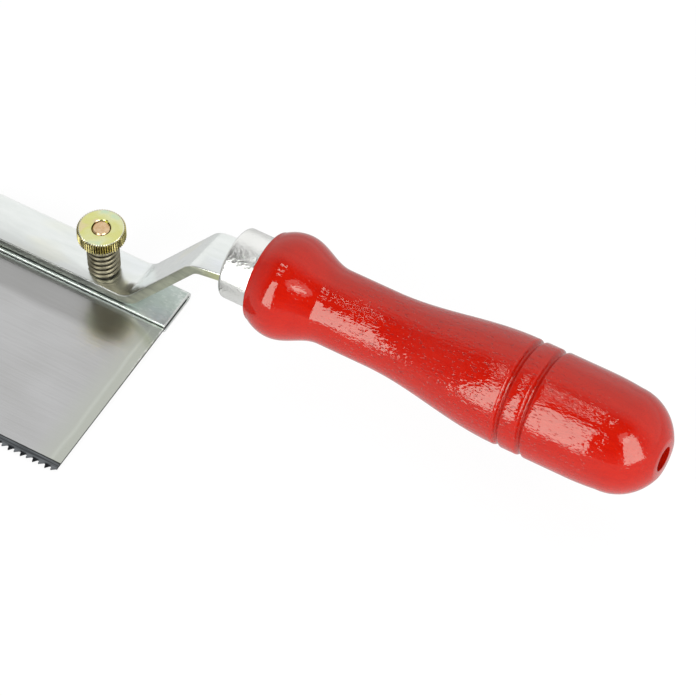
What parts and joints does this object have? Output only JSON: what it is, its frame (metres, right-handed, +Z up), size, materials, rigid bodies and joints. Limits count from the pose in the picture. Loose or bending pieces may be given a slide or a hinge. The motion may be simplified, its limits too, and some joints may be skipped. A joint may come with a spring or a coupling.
{
  "type": "flush cut saw",
  "caption": "Flush cut saw: thin steel blade in a folded back, cranked tang held by a sprung thumb nut, turned red wooden handle.",
  "frame": {"origin": "middle of the back's flat underside, the face that lies flush on the work", "axes": "+X along the back to the handle, +Y from the teeth to the back's fold, +Z up from the work"},
  "size_m": [0.3981, 0.078, 0.0505],
  "materials": {
    "blade_steel": "ground, bright, hardened dark along the teeth",
    "back_zinc": "zinc plated, satin",
    "stud_copper": "copper flashed",
    "bar_zinc": "bright zinc plated",
    "spring_steel": "oiled spring steel",
    "knob_zinc": "yellow passivated zinc",
    "ferrule_nickel": "bright plated",
    "red_lacquer": "high gloss lacquer"
  },
  "bodies": {
    "blade_assembly": {"blade": "blade_steel", "back": "back_zinc", "stud": "stud_copper"},
    "handle_assembly": {"tang_bar": "bar_zinc", "ferrule": "ferrule_nickel", "handle": "red_lacquer"},
    "spring_carrier": {"spring": "spring_steel"},
    "knob_nut": {"knob": "knob_zinc"}
  },
  "joints": [
    {"name": "handle_swing", "type": "hinge", "parent": "blade_assembly", "child": "handle_assembly", "pos_m": [0.1015, 0, 0.0048], "axis": [0, 0, 1], "range_deg": [0, 180]},
    {"name": "knob_travel", "type": "slide", "parent": "blade_assembly", "child": "spring_carrier", "axis": [0, 0, 1], "range_m": [-0.0024, 0], "deforming": ["spring"]},
    {"name": "knob_turn", "type": "hinge", "parent": "spring_carrier", "child": "knob_nut", "pos_m": [0.1015, 0, 0.0199], "axis": [0, 0, 1], "range_deg": [-1080, 0]}
  ],
  "couplings": [
    {"joint": "knob_turn", "follows": "knob_travel", "rad_per_m": 7854}
  ]
}
